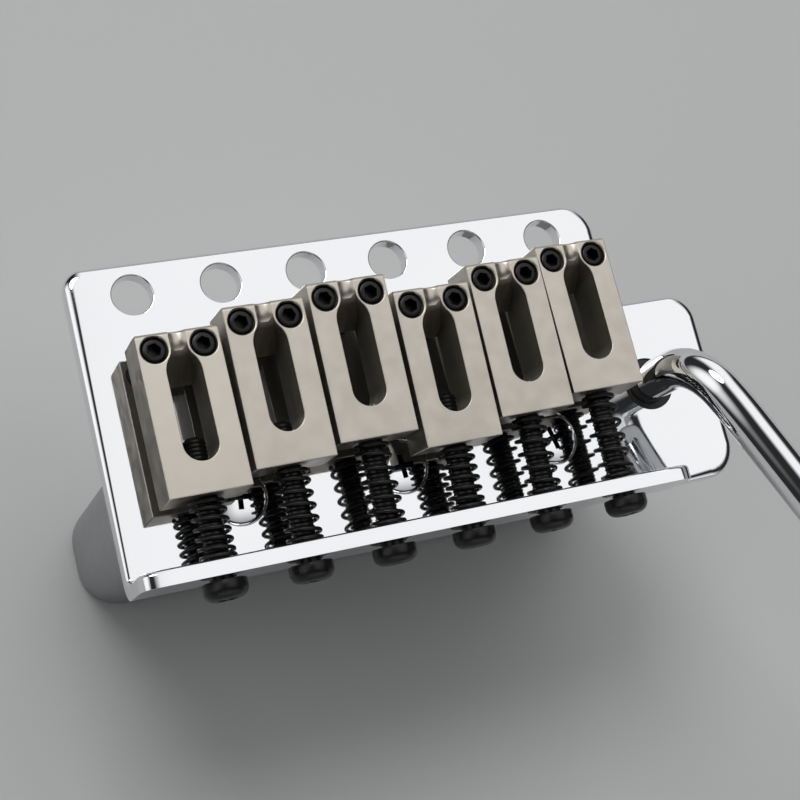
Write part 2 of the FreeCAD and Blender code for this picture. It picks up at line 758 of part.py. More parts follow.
class RodMaker:
    """Lays rods and bends end to end; Z of the running frame points along the rod, X to the bend's inside."""

    def __init__(self, start):
        self.frame = start
        self.pieces = []

    def straight(self, length):
        rod = doc.addObject("Part::Cylinder", "Rod")
        rod.setExpression("Radius", "dims.arm_size / 2")
        rod.setExpression("Height", length)
        rod.Placement = self.frame
        self.pieces.append(rod)
        ahead = FreeCAD.Vector(0, 0, value_of(length))
        self.frame = self.frame * FreeCAD.Placement(ahead, FreeCAD.Rotation())

    def bend(self, radius, degrees):
        ring = doc.addObject("Part::Torus", "Bend")
        ring.setExpression("Radius1", radius)
        ring.setExpression("Radius2", "dims.arm_size / 2")
        ring.Angle3 = value_of(degrees)
        reach = FreeCAD.Vector(value_of(radius), 0, 0)
        upright = FreeCAD.Rotation(FreeCAD.Vector(-1, 0, 0), FreeCAD.Vector(0, 0, 1), FreeCAD.Vector(), "XYZ")
        ring.Placement = self.frame * FreeCAD.Placement(reach, upright)
        self.pieces.append(ring)
        turn = FreeCAD.Rotation(FreeCAD.Vector(0, 1, 0), value_of(degrees))
        pivot = FreeCAD.Placement(reach, turn)
        self.frame = self.frame * pivot * FreeCAD.Placement(-reach, FreeCAD.Rotation())


def make_tremolo_arm():
    below = FreeCAD.Placement(FreeCAD.Vector(0, 0, -size("arm_leg_below")), FreeCAD.Rotation())
    maker = RodMaker(arm_frame() * below)
    maker.straight("dims.arm_leg_below + dims.arm_leg_above")
    maker.bend("dims.arm_bend", "dims.arm_bend_degrees")
    maker.bend("dims.arm_sweep", "dims.arm_sweep_degrees")
    maker.straight("dims.arm_straight")
    maker.bend("dims.arm_dip", "dims.arm_dip_degrees")
    maker.straight("dims.arm_end")
    arm = doc.addObject("Part::MultiFuse", "tremolo_arm")
    arm.Label = "tremolo_arm"
    arm.Shapes = maker.pieces
    arm.Refine = True
    doc.recompute()
    return arm, maker.frame


def make_arm_tip(end):
    """Moulded cap pushed over the end of the arm."""
    body = new_body("arm_tip")
    outside = new_sketch(body, "TipRound", "XY_Plane")
    add_circle(outside, "0", "0", "dims.tip_size / 2")
    extrude(body, "Pad", outside, "dims.tip_length")
    dress(body, "Fillet", "TipNose", "Radius", "dims.tip_round",
          lambda edge: ring_at(edge, size("tip_length"), size("tip_size") / 2))
    bore = new_sketch(body, "TipBore", "XY_Plane")
    add_circle(bore, "0", "0", "dims.arm_size / 2 + dims.running")
    pocket(body, bore, "dims.tip_cover + dims.running", backwards=True)
    back = FreeCAD.Vector(0, 0, -size("tip_cover"))
    body.Placement = end * FreeCAD.Placement(back, FreeCAD.Rotation())
    return body


def make_arm_bush():
    """Plain bush between the arm and its socket, just below the plate's top."""
    body = new_body("arm_bush")
    ring = new_sketch(body, "BushRing", "XY_Plane", "dims.plate_thick - dims.bush_sink")
    add_circle(ring, "0", "0", "dims.bush_size / 2")
    add_circle(ring, "0", "0", "dims.arm_size / 2 + dims.running")
    extrude(body, "Pad", ring, "dims.bush_length", backwards=True)
    body.Placement = arm_frame()
    return body


# Assembly and export

def make_all():
    pieces = [make_base_plate(), make_tremolo_block(), make_block_screws(), make_arm_bush()]
    arm, arm_end = make_tremolo_arm()
    pieces += [arm, make_arm_tip(arm_end)]
    for string in range(STRINGS):
        pieces.append(make_saddle(string))
        pieces.append(make_height_screws(string))
        pieces.append(make_intonation_screw(string))
        pieces.append(make_intonation_spring(string))
    return pieces


PIECES = make_all()
doc.recompute()
for item in doc.Objects:
    if "Invalid" in item.State or "Error" in item.State:
        raise RuntimeError(item.Label + ": " + ", ".join(item.State))
os.makedirs("parts", exist_ok=True)
for piece in PIECES:
    check(piece)
    piece.Shape.exportStep("parts/" + piece.Label + ".step")
    print("%s: %d solids, %.1f mm3" % (piece.Label, len(piece.Shape.Solids), piece.Shape.Volume))
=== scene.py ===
# %% [markdown]
# Guitar tremolo bridge.
# A chromed plate pivots on six screws in the guitar's top. Six satin saddles carry the strings, each held
# back by a long screw with a coil spring, and a chromed arm swings in a bush beside the last one.
# The solids are already in place, so this lesson dresses them: some keep their shape and get a finish, and
# the small turned, coiled and bevelled pieces are built again with finer detail.

# %% Frame of solids
import json
import math

import bmesh
import bpy
from mathutils import Matrix, Vector


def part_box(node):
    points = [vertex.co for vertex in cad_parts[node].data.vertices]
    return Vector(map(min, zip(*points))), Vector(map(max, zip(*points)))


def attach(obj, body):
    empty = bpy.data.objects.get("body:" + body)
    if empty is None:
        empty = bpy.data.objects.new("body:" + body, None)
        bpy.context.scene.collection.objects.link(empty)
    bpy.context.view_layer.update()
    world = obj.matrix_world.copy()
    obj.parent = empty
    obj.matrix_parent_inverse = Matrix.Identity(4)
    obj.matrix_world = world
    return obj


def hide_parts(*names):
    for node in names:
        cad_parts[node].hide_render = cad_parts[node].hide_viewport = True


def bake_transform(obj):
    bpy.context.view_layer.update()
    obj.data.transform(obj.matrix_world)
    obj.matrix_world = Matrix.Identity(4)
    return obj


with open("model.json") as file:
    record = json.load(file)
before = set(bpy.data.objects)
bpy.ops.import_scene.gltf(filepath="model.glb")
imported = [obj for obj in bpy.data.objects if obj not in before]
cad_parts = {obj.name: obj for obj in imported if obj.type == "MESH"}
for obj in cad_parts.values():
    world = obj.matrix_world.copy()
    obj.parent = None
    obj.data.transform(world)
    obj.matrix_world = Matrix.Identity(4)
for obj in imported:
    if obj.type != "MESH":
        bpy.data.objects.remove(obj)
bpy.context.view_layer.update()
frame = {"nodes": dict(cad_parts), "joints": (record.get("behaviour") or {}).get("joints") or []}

NODES = frame["nodes"]
JOINTS = {joint["name"]: joint for joint in frame["joints"]}
STRINGS = range(1, 7)
MM = 0.001

# %% [markdown]
# Every saddle leans a little, so that the six strings lie on the curve of the fingerboard. Working in the
# leaning frame of one saddle keeps its pieces square: X across, Y along the screw and Z up, in millimetres,
# from the point where the screw passes the bent lip. The joints know that point and that direction.

# %% Leaning frames
def saddle_frame(string):
    along = Vector(JOINTS["spin_%d" % string]["axis"])
    across = Vector((1, 0, 0))
    place = Matrix((across, along, across.cross(along))).transposed().to_4x4()
    place.translation = Vector(JOINTS["lean_%d" % string]["pos_m"])
    return place @ Matrix.Scale(MM, 4)


def size_in(node, place):
    """Lowest and highest corner of a solid, measured in a leaning frame."""
    turn_back = place.inverted()
    corners = [turn_back @ vertex.co for vertex in NODES[node].data.vertices]
    low = Vector([min(corner[axis] for corner in corners) for axis in range(3)])
    high = Vector([max(corner[axis] for corner in corners) for axis in range(3)])
    return low, high


FRAMES = {string: saddle_frame(string) for string in STRINGS}
SADDLES = {string: size_in("saddle_%d" % string, FRAMES[string]) for string in STRINGS}
for string, (low, high) in SADDLES.items():
    print("saddle %d: %.1f x %.1f x %.1f mm" % (string, *(high - low)))

# %% [markdown]
# Finishes are small trees of shader nodes. A helper keeps each one short: it makes the material, hands back
# its shader and lets a noise of some size drive the roughness and a shallow bump, because no polished or
# sprayed surface is the same all over. Object coordinates are in metres here, so the scales look large.

# %% Helpers for finishes
def new_finish(name, colour, metallic, roughness):
    material = bpy.data.materials.new(name)
    material.use_nodes = True
    shader = material.node_tree.nodes["Principled BSDF"]
    shader.inputs["Base Color"].default_value = (*colour, 1)
    shader.inputs["Metallic"].default_value = metallic
    shader.inputs["Roughness"].default_value = roughness
    return material, shader


def add_node(material, kind, **sockets):
    node = material.node_tree.nodes.new("ShaderNode" + kind)
    for name, value in sockets.items():
        node.inputs[name.replace("_", " ")].default_value = value
    return node


def wire(material, source, target):
    material.node_tree.links.new(source, target)


def noise_on(material, scale, detail, stretch=(1, 1, 1)):
    """Noise in the piece's own coordinates, drawn out along some axes."""
    place = add_node(material, "TexCoord")
    mapping = add_node(material, "Mapping", Scale=stretch)
    noise = add_node(material, "TexNoise", Scale=scale, Detail=detail)
    wire(material, place.outputs["Object"], mapping.inputs["Vector"])
    wire(material, mapping.outputs["Vector"], noise.inputs["Vector"])
    return noise.outputs["Fac"]


def spread(material, source, low, high, start=0.3, end=0.7):
    """Maps a noise to values between two limits."""
    node = add_node(material, "MapRange")
    for name, value in (("From Min", start), ("From Max", end), ("To Min", low), ("To Max", high)):
        node.inputs[name].default_value = value
    wire(material, source, node.inputs["Value"])
    return node.outputs["Result"]


def bump_with(material, shader, source, depth, strength):
    node = add_node(material, "Bump", Strength=strength, Distance=depth)
    wire(material, source, node.inputs["Height"])
    wire(material, node.outputs["Normal"], shader.inputs["Normal"])


def tint_with(material, shader, source, first, second):
    """Lets the colour drift between two near shades."""
    mix = add_node(material, "Mix")
    mix.data_type = "RGBA"
    mix.inputs[6].default_value = (*first, 1)
    mix.inputs[7].default_value = (*second, 1)
    wire(material, source, mix.inputs["Factor"])
    wire(material, mix.outputs[2], shader.inputs["Base Color"])


print("finish helpers ready")

# %% [markdown]
# The plate, the arm and the screws in the plate are polished and chromed. Chrome is a nearly perfect,
# faintly blue mirror, so its look comes from what it reflects. A very small change of roughness, drawn
# out along the direction of polishing, keeps it from looking like glass.

# %% Mirror chrome
def make_chrome(name, stretch):
    material, shader = new_finish(name, (0.83, 0.845, 0.865), 1.0, 0.04)
    haze = noise_on(material, 900, 3, stretch)
    wire(material, spread(material, haze, 0.025, 0.07), shader.inputs["Roughness"])
    tint_with(material, shader, noise_on(material, 60, 2), (0.81, 0.825, 0.85), (0.85, 0.86, 0.875))
    bump_with(material, shader, noise_on(material, 90, 2), 0.00001, 0.03)
    return material


CHROME = make_chrome("mirror_chrome", (1, 0.15, 1))
ARM_CHROME = make_chrome("mirror_chrome_rod", (1, 1, 0.1))
print("chrome ready")

# %% [markdown]
# The saddles are nickel with a fine satin grain: warm, a little yellow, and soft in its reflections. The
# grain comes from blasting, so the noise is even in all directions, with a slow drift of tone under it.
# Inside the slots no blast and little plating reach the metal, so it is dull and browner, with streaks down
# the ramp's slope. On top of that the walls are painted darker, as painted shade deep in the slot, and the
# ramp, which faces up, is painted lighter, as painted light falling on it.

# %% Satin nickel
def make_satin_nickel():
    material, shader = new_finish("satin_nickel", (0.56, 0.52, 0.46), 1.0, 0.36)
    grain = noise_on(material, 9000, 2)
    wire(material, spread(material, noise_on(material, 500, 4), 0.3, 0.42), shader.inputs["Roughness"])
    tint_with(material, shader, noise_on(material, 160, 3), (0.53, 0.49, 0.43), (0.59, 0.55, 0.49))
    bump_with(material, shader, grain, 0.00002, 0.12)
    return material


def make_dull_nickel(name, dark, light):
    material, shader = new_finish(name, light, 0.0, 0.6)
    shader.inputs["Specular IOR Level"].default_value = 0.2
    wire(material, spread(material, noise_on(material, 700, 4), 0.5, 0.7), shader.inputs["Roughness"])
    tint_with(material, shader, noise_on(material, 900, 3, (1, 0.15, 0.15)), dark, light)
    bump_with(material, shader, noise_on(material, 4000, 2, (1, 0.3, 1)), 0.00003, 0.2)
    return material


SATIN = make_satin_nickel()
# Two copies of the dull nickel: darker on the walls as painted shade, lighter on the ramp as painted light.
SHADED_WALL_NICKEL = make_dull_nickel("dull_nickel_wall_painted_shade", (0.09, 0.081, 0.063), (0.22, 0.198, 0.155))
LIT_RAMP_NICKEL = make_dull_nickel("dull_nickel_ramp_painted_light", (0.14, 0.115, 0.085), (0.5, 0.44, 0.35))
print("satin and dull nickel ready")

# %% [markdown]
# Screws and springs are blackened steel: an oily black with a semi-gloss sheen, a little browner and drier
# where it has been handled.

# %% Blackened steel
def make_black_steel():
    material, shader = new_finish("black_steel", (0.012, 0.012, 0.013), 0.5, 0.32)
    wire(material, spread(material, noise_on(material, 1500, 4), 0.24, 0.42), shader.inputs["Roughness"])
    tint_with(material, shader, noise_on(material, 700, 3), (0.008, 0.008, 0.009), (0.02, 0.019, 0.018))
    bump_with(material, shader, noise_on(material, 5000, 2), 0.00002, 0.15)
    return material


BLACK = make_black_steel()
print("black steel ready")

# %% [markdown]
# The block is cast zinc with a dull grey coat. Castings keep a fine orange-peel skin, so the bump is
# coarser than on the machined pieces, and the roughness is higher.

# %% Grey casting
def make_casting():
    material, shader = new_finish("grey_casting", (0.36, 0.37, 0.38), 0.85, 0.42)
    wire(material, spread(material, noise_on(material, 600, 4), 0.39, 0.46), shader.inputs["Roughness"])
    tint_with(material, shader, noise_on(material, 240, 3), (0.345, 0.355, 0.365), (0.38, 0.39, 0.4))
    bump_with(material, shader, noise_on(material, 1400, 3), 0.00005, 0.2)
    return material


CASTING = make_casting()
print("casting ready")

# %% [markdown]
# The bush round the arm and the cap at its end are black moulded plastic, matt with a faint spark-eroded
# texture from the mould.

# %% Black plastic
def make_black_plastic():
    material, shader = new_finish("black_plastic", (0.018, 0.018, 0.019), 0.0, 0.45)
    wire(material, spread(material, noise_on(material, 1800, 3), 0.38, 0.55), shader.inputs["Roughness"])
    tint_with(material, shader, noise_on(material, 300, 2), (0.015, 0.015, 0.016), (0.024, 0.024, 0.025))
    bump_with(material, shader, noise_on(material, 6000, 2), 0.00003, 0.2)
    return material


PLASTIC = make_black_plastic()
print("plastic ready")

# %% [markdown]
# Every new piece ends the same way: its mesh moves into the common frame, faces are smoothed up to a sharp
# angle, the piece is hung on the body that carries it and given its finish, and the solid it stands for is
# hidden.

# %% Finishing a piece
MERGE = 0.002


def close_up(bm):
    bmesh.ops.remove_doubles(bm, verts=bm.verts[:], dist=MERGE)
    bmesh.ops.recalc_face_normals(bm, faces=bm.faces[:])


def finish_piece(name, bm, place, body, material, stands_for=None, sharp=40):
    bm.transform(place)
    for face in bm.faces:
        face.smooth = True
    mesh = bpy.data.meshes.new(name)
    bm.to_mesh(mesh)
    bm.free()
    if "custom_normal" in mesh.attributes:
        mesh.attributes.remove(mesh.attributes["custom_normal"])
    mesh.set_sharp_from_angle(angle=math.radians(sharp))
    mesh.materials.append(material)
    piece = bpy.data.objects.new(name, mesh)
    bpy.context.scene.collection.objects.link(piece)
    if body is not None:
        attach(piece, body)
    if stands_for is not None:
        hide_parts(stands_for)
    return piece


def weigh_normals(piece):
    """Keeps flat faces flat beside their small bevels."""
    modifier = piece.modifiers.new("flat_faces", "WEIGHTED_NORMAL")
    modifier.keep_sharp = True


class Pen:
    """Draws an outline in the XY plane: lines are extruded vertices and arcs are spun ones."""

    def __init__(self, bm, x, y):
        self.bm = bm
        self.tip = bmesh.ops.create_vert(bm, co=(x, y, 0))["vert"][0]

    def line(self, x, y):
        self.tip = bmesh.ops.extrude_vert_indiv(self.bm, verts=[self.tip])["verts"][0]
        self.tip.co = (x, y, 0)

    def arc(self, x, y, degrees, steps):
        made = bmesh.ops.spin(self.bm, geom=[self.tip], cent=(x, y, 0), axis=(0, 0, 1), dvec=(0, 0, 0),
                              angle=math.radians(degrees), steps=steps, use_merge=False)
        self.tip = made_of(made["geom_last"], bmesh.types.BMVert)[0]


def fill_outline(bm):
    """Fills the drawn outlines; one inside another leaves a hole."""
    bmesh.ops.remove_doubles(bm, verts=bm.verts[:], dist=MERGE)
    bmesh.ops.triangle_fill(bm, use_beauty=True, use_dissolve=True, edges=bm.edges[:], normal=(0, 0, 1))


def raise_outline(bm, height):
    """Turns a flat filled outline into a closed prism."""
    made = bmesh.ops.extrude_face_region(bm, geom=bm.faces[:], use_keep_orig=True)
    top = made_of(made["geom"], bmesh.types.BMVert)
    bmesh.ops.translate(bm, verts=top, vec=(0, 0, height))
    bmesh.ops.recalc_face_normals(bm, faces=bm.faces[:])


def bevel(bm, edges, width, segments):
    bmesh.ops.bevel(bm, geom=edges, offset=width, offset_type="OFFSET", affect="EDGES", segments=segments,
                    profile=0.5, material=-1, clamp_overlap=True)


def sharp_edges(bm, degrees):
    return [edge for edge in bm.edges if len(edge.link_faces) == 2
            and edge.calc_face_angle() > math.radians(degrees)]


def turn_profile(bm, steps):
    """Spins a drawn half profile once round the Y axis."""
    bmesh.ops.spin(bm, geom=bm.verts[:] + bm.edges[:], cent=(0, 0, 0), axis=(0, 1, 0), dvec=(0, 0, 0),
                   angle=2 * math.pi, steps=steps, use_merge=True)
    close_up(bm)


def edges_of(verts):
    return list({edge for vertex in verts for edge in vertex.link_edges})


def made_of(made, kind):
    return [item for item in made if isinstance(item, kind)]


print("helpers ready")

# %% [markdown]
# Small cutters and plugs are joined to a piece, or cut out of it, with a Boolean. Cutting faces by hand
# would do it too, but a Boolean keeps the shape closed wherever the two surfaces happen to cross.

# %% Joining and cutting
def stand_in(name, bm):
    mesh = bpy.data.meshes.new(name)
    bm.to_mesh(mesh)
    bm.free()
    thing = bpy.data.objects.new(name, mesh)
    bpy.context.scene.collection.objects.link(thing)
    return thing


def combine(first, second, operation):
    """One closed shape from two: UNION joins them and DIFFERENCE cuts the second out of the first."""
    work, tool = stand_in("work", first), stand_in("tool", second)
    modifier = work.modifiers.new("shape", "BOOLEAN")
    modifier.object = tool
    modifier.operation = operation
    modifier.solver = "EXACT"
    bpy.context.view_layer.update()
    shaped = bpy.data.meshes.new_from_object(work.evaluated_get(bpy.context.evaluated_depsgraph_get()))
    result = bmesh.new()
    result.from_mesh(shaped)
    for mesh in (work.data, tool.data, shaped):
        bpy.data.meshes.remove(mesh)
    return result


def add_shape(bm, other):
    """Adds a second closed shape to a mesh without joining their faces."""
    mesh = bpy.data.meshes.new("added")
    other.to_mesh(mesh)
    other.free()
    bm.from_mesh(mesh)
    bpy.data.meshes.remove(mesh)


print("joining and cutting ready")

# %% [markdown]
# The plate is pressed from sheet, folded up into a lip at the rear, polished and chromed. A mirror shows
# its shape by the dark lines along its edges, so a copy of the solid gets the edges that polishing
# leaves: the outer edge is worn wide, and the lip's rear edge and the rims of the pivot holes, still as
# sharp as a drawing, are rounded. The lip's corners are fuller than plain quarter circles, so they are
# pushed outwards.

# %% Plate
SLACK = 0.02 * MM
LIP_ROUND = 0.6 * MM
RIM_ROUND = 0.2 * MM
LIP_END = 36 * MM
LIP_CORNER = 4 * MM
LIP_FULLNESS = 0.4
LIP_FRONT = -34.4 * MM
LIP_CLEAR = 3 * MM
LIP_FOOT = 2.7 * MM
LIP_BROW = 8.6 * MM
LIP_SIDE = 31 * MM
RIM_REACH = 2.6 * MM
PLATE_TOP = 2 * MM
EDGE_ROUND = 0.6 * MM
EDGE_WIDE = 1.3 * MM
EDGE_DEEP = 0.9 * MM
EDGE_STEEPEST = 0.02
EDGE_FLATTEST = 0.9995
FLAT_DEGREES = 0.4


def fill_corners(bm, top):
    """Pushes the quarter circles at the lip's ends out towards the square corner."""
    x_centre, z_centre = LIP_END - LIP_CORNER, top - LIP_CORNER
    for vertex in bm.verts:
        across, up = abs(vertex.co.x) - x_centre, vertex.co.z - z_centre
        if across > SLACK and up > SLACK:
            reach = math.hypot(across, up)
            vertex.co.x = math.copysign(x_centre + reach * (across / reach) ** LIP_FULLNESS, vertex.co.x)
            vertex.co.z = z_centre + reach * (up / reach) ** LIP_FULLNESS


def edge_strip(bm):
    """The rounded faces all along the plate's outer edge, found by walking on from the front edge."""
    def rounded(face):
        drop = PLATE_TOP - face.calc_center_median().z
        return EDGE_STEEPEST < face.normal.z < EDGE_FLATTEST and 0 < drop < EDGE_ROUND

    left = {face for face in bm.faces if rounded(face)}
    walk = [max(left, key=lambda face: face.calc_center_median().y)]
    strip = set(walk)
    while walk:
        face = walk.pop()
        beside = {other for edge in face.edges for other in edge.link_faces} & left - strip
        strip |= beside
        walk += beside
    return strip


def widen_edge(bm):
    """Polishing wears the outer edge wide, further in and down, except close to the lip."""
    ways = {}
    for face in edge_strip(bm):
        outward = Vector((face.normal.x, face.normal.y, 0)).normalized()
        for vertex in face.verts:
            ways[vertex] = ways.get(vertex, Vector()) + outward
    for vertex, way in ways.items():
        gap = math.hypot(max(abs(vertex.co.x) - LIP_END, 0), max(vertex.co.y - LIP_FRONT, 0))
        share = min(max((gap - EDGE_ROUND) / LIP_CLEAR, 0), 1)
        drop = min(max((PLATE_TOP - vertex.co.z) / EDGE_ROUND, 0), 1)
        inward = 1 - math.sqrt(1 - (1 - drop) ** 2)
        vertex.co -= way.normalized() * share * inward * (EDGE_WIDE - EDGE_ROUND)
        vertex.co.z -= share * drop * (EDGE_DEEP - EDGE_ROUND)
    return len(ways)


def make_plate():
    bm = bmesh.new()
    bm.from_mesh(NODES["base_plate"].data)
    bmesh.ops.remove_doubles(bm, verts=bm.verts[:], dist=MERGE * MM)
    bmesh.ops.dissolve_limit(bm, angle_limit=math.radians(FLAT_DEGREES), use_dissolve_boundaries=False,
                             verts=bm.verts[:], edges=bm.edges[:])
    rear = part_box("base_plate")[0].y
    print(widen_edge(bm), "points on the outer edge")
    fill_corners(bm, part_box("base_plate")[1].z)

    def on_lip(end):
        outside = end.co.z > LIP_BROW or abs(end.co.x) > LIP_SIDE
        return abs(end.co.y - rear) < SLACK and end.co.z > LIP_FOOT and outside

    def on_rim(end):
        return abs(end.co.z - PLATE_TOP) < SLACK and abs(end.co.y) < RIM_REACH

    for test, width, segments in ((on_lip, LIP_ROUND, 6), (on_rim, RIM_ROUND, 3)):
        edges = [edge for edge in sharp_edges(bm, 60) if all(test(end) for end in edge.verts)]
        print(len(edges), "edges to round")
        bevel(bm, edges, width, segments)
    piece = finish_piece("chrome_plate", bm, Matrix.Identity(4), "base", CHROME,
                         "base_plate", sharp=35)
    weigh_normals(piece)
    return piece


plate = make_plate()
print(plate.name, len(plate.data.polygons), "faces")

# %% [markdown]
# The block under the plate is a casting that the strings and the tension springs hook into. Its solid is
# right as it stands, and it only needs its finish.

# %% Block
NODES["tremolo_block"].data.materials.clear()
NODES["tremolo_block"].data.materials.append(CASTING)
print("tremolo_block keeps its solid")

# %% [markdown]
# A saddle is a small block with a long slot for the string. The slot narrows in a smooth throat between
# two round bosses, which hold the height screws. The plan is one outline of lines and arcs, filled and
# raised, with its front edge rounded over and every other edge broken by a small bevel that catches the
# light.

# %% Saddle block
SLOT_HALF = 2.1
REAR_WALL = 3.8
BOSS_RADIUS = 2.0
BOSS_ACROSS = 2.97
BOSS_BACK = 2.05
THROAT_RADIUS = 3.0
FRONT_ROUND = 0.6
EDGE_BREAK = 0.13
NEAR = 0.01


def draw_saddle_plan(bm, half, rear, front):
    middle = front - BOSS_BACK
    slot_rear = rear + REAR_WALL + SLOT_HALF
    throat = SLOT_HALF - THROAT_RADIUS
    turn = math.acos((BOSS_ACROSS - throat) / (BOSS_RADIUS + THROAT_RADIUS))
    narrow = middle - (BOSS_RADIUS + THROAT_RADIUS) * math.sin(turn)
    mouth = BOSS_ACROSS - BOSS_RADIUS
    pen = Pen(bm, mouth, front)
    pen.line(mouth, middle)
    pen.arc(BOSS_ACROSS, middle, math.degrees(turn), 12)
    pen.arc(throat, narrow, -math.degrees(turn), 10)
    pen.line(SLOT_HALF, slot_rear)
    pen.arc(0, slot_rear, -180, 32)
    pen.line(-SLOT_HALF, narrow)
    pen.arc(-throat, narrow, -math.degrees(turn), 10)
    pen.arc(-BOSS_ACROSS, middle, math.degrees(turn), 12)
    corners = ((-mouth, front), (-half, front), (-half, rear), (half, rear), (half, front), (mouth, front))
    for x, y in corners:
        pen.line(x, y)


def saddle_block(low, high):
    bm = bmesh.new()
    draw_saddle_plan(bm, high.x, low.y, high.y)
    fill_outline(bm)
    bmesh.ops.dissolve_faces(bm, faces=bm.faces[:], use_verts=False)
    bmesh.ops.translate(bm, verts=bm.verts[:], vec=(0, 0, low.z))
    raise_outline(bm, high.z - low.z)
    brow = [edge for edge in bm.edges
            if all(end.co.z > high.z - NEAR and end.co.y > high.y - NEAR for end in edge.verts)]
    bevel(bm, brow, FRONT_ROUND, 4)
    bevel(bm, sharp_edges(bm, 50), EDGE_BREAK, 2)
    return bm


print("saddle plan ready")

# %% [markdown]
# Between the bosses lies the crown that the string bends over, and behind it a ramp leads the string up
# from below. Both are one section, drawn from the side and drawn out across the saddle; sliced
# lengthwise, its top is then hollowed to a gentle valley that keeps the string in the middle. Joined to
# the block and bored for the three screws, they make one closed casting.

# %% Saddles
CROWN_DROP = 0.42
CROWN_BROW = 0.4
CROWN_FLAT = 0.7
CROWN_RADIUS = 2.0
VALLEY_RADIUS = 1.6
VALLEY_HALF = 1.0
VALLEY_DEPTH = 2.2
RAMP_DEGREES = 64
VALLEY_CUTS = 39
CROWN_INSET = 0.06
BOSS_BITE = 0.4
BORE_RADIUS = 1.55
BORE_FLARE = 0.27
SCREW_BORE_FLARE = 0.05
BORE_OVERRUN = 1
SLOT_MARGIN = 0.05
SLOT_FRONT = 0.6
BRIGHT_EDGE = 0.2
FACING_UP = 0.8
SLOPING = 0.3


def saddle_crown(low, high):
    """The crown, the wall under it and the ramp behind it."""
    bm = bmesh.new()
    front, crest, floor = high.y - CROWN_INSET, high.z - CROWN_DROP, low.z + CROWN_INSET
    slope = math.radians(RAMP_DEGREES)
    start = front - CROWN_BROW
    back = start - CROWN_FLAT
    fall = crest - CROWN_RADIUS * (1 - math.cos(slope)) - floor
    toe = back - CROWN_RADIUS * math.sin(slope) - fall / math.tan(slope)
    pen = Pen(bm, toe, floor)
    pen.line(front, floor)
    pen.line(front, crest - CROWN_BROW)
    pen.arc(start, crest - CROWN_BROW, 90, 6)
    pen.line(back, crest)
    pen.arc(back, crest - CROWN_RADIUS, RAMP_DEGREES, 16)
    pen.line(toe, floor)
    fill_outline(bm)
    half = BOSS_ACROSS - BOSS_BITE
    raise_outline(bm, 2 * half)
    bm.transform(Matrix(((0, 0, 1, -half), (1, 0, 0, 0), (0, 1, 0, 0), (0, 0, 0, 1))))
    hollow_crown(bm, half, high.z)
    return bm


def hollow_crown(bm, half, top):
    """Lifts the sides of the crown, less and less towards the ramp, so that a valley stays between them."""
    across = [edge for edge in bm.edges if abs(edge.verts[0].co.x - edge.verts[1].co.x) > half]
    bmesh.ops.subdivide_edges(bm, edges=across, cuts=VALLEY_CUTS, use_grid_fill=True)
    for vertex in bm.verts:
        reach = min(abs(vertex.co.x), VALLEY_HALF)
        share = (vertex.co.z - top + VALLEY_DEPTH) / (VALLEY_DEPTH - CROWN_DROP)
        rise = VALLEY_RADIUS - math.sqrt(VALLEY_RADIUS ** 2 - reach ** 2)
        vertex.co.z += max(share, 0) * rise
    bmesh.ops.recalc_face_normals(bm, faces=bm.faces[:])


def bore(start, end, flare):
    """A round cutter along Y that opens out at its far end."""
    bm = bmesh.new()
    pen = Pen(bm, 0, start)
    for x, y in ((BORE_RADIUS, start), (BORE_RADIUS, end - flare), (BORE_RADIUS + 2 * flare, end + flare),
                 (0, end + flare)):
        pen.line(x, y)
    turn_profile(bm, 48)
    return bm


def saddle_bores(low, high):
    bm = bore(low.y - BORE_OVERRUN, low.y + REAR_WALL + SLOT_HALF, SCREW_BORE_FLARE)
    for side in (-1, 1):
        upright = bore(low.z - BORE_OVERRUN, high.z, BORE_FLARE)
        place = Matrix.Translation((side * BOSS_ACROSS, high.y - BOSS_BACK, 0))
        upright.transform(place @ Matrix.Rotation(math.pi / 2, 4, "X"))
        add_shape(bm, upright)
    return bm


def slot_finish_and_painted_light(face, low, high):
    """Finish of a face: 0 outside the slot or on its bright edge, 1 wall with painted shade, 2 ramp with
    painted light.
    """
    middle = face.calc_center_median()
    rear, front = low.y + REAR_WALL - SLOT_MARGIN, high.y - BOSS_BACK + SLOT_FRONT
    inside = abs(middle.x) < SLOT_HALF + SLOT_MARGIN and rear < middle.y < front
    if not inside or middle.z > high.z - BRIGHT_EDGE or face.normal.z > FACING_UP:
        return 0
    return 2 if face.normal.y < -SLOPING and face.normal.z > SLOPING else 1


def make_saddle(string):
    low, high = SADDLES[string]
    bm = combine(saddle_block(low, high), saddle_crown(low, high), "UNION")
    bm = combine(bm, saddle_bores(low, high), "DIFFERENCE")
    close_up(bm)
    for face in bm.faces:
        face.material_index = slot_finish_and_painted_light(face, low, high)
    piece = finish_piece("satin_saddle_%d" % string, bm, FRAMES[string], "saddle_%d" % string,
                         SATIN, "saddle_%d" % string, sharp=50)
    # The slot walls take the painted shade and the up-facing ramp the painted light.
    for material in (SHADED_WALL_NICKEL, LIT_RAMP_NICKEL):
        piece.data.materials.append(material)
    weigh_normals(piece)
    return piece


for string in STRINGS:
    piece = make_saddle(string)
    print(piece.name, len(piece.data.polygons), "faces")

# %% [markdown]
# Two grub screws in each saddle stand on the plate and set the string's height. A grub is a headless
# screw with a hexagonal socket. Its top is a disc with a six-sided hole; the rim is drawn down to the tip
# and the hole down to the socket's floor, and one ridge wound round the shank makes the thread.

# %% Height screws
GRUB_RADIUS = 1.5
SOCKET_RADIUS = 0.92
SOCKET_DEPTH = 1.6
SOCKET_TURN = 23
SOCKET_SIDE_TURN = 40
THREAD_PITCH = 0.5
THREAD_DEPTH = 0.2
THREAD_FOOT_SHARE = 0.47
THREAD_STOP = 0.3
GRUB_BROW = 0.25
GRUB_CHAMFER = 0.2
SHANK_STEP = 0.12


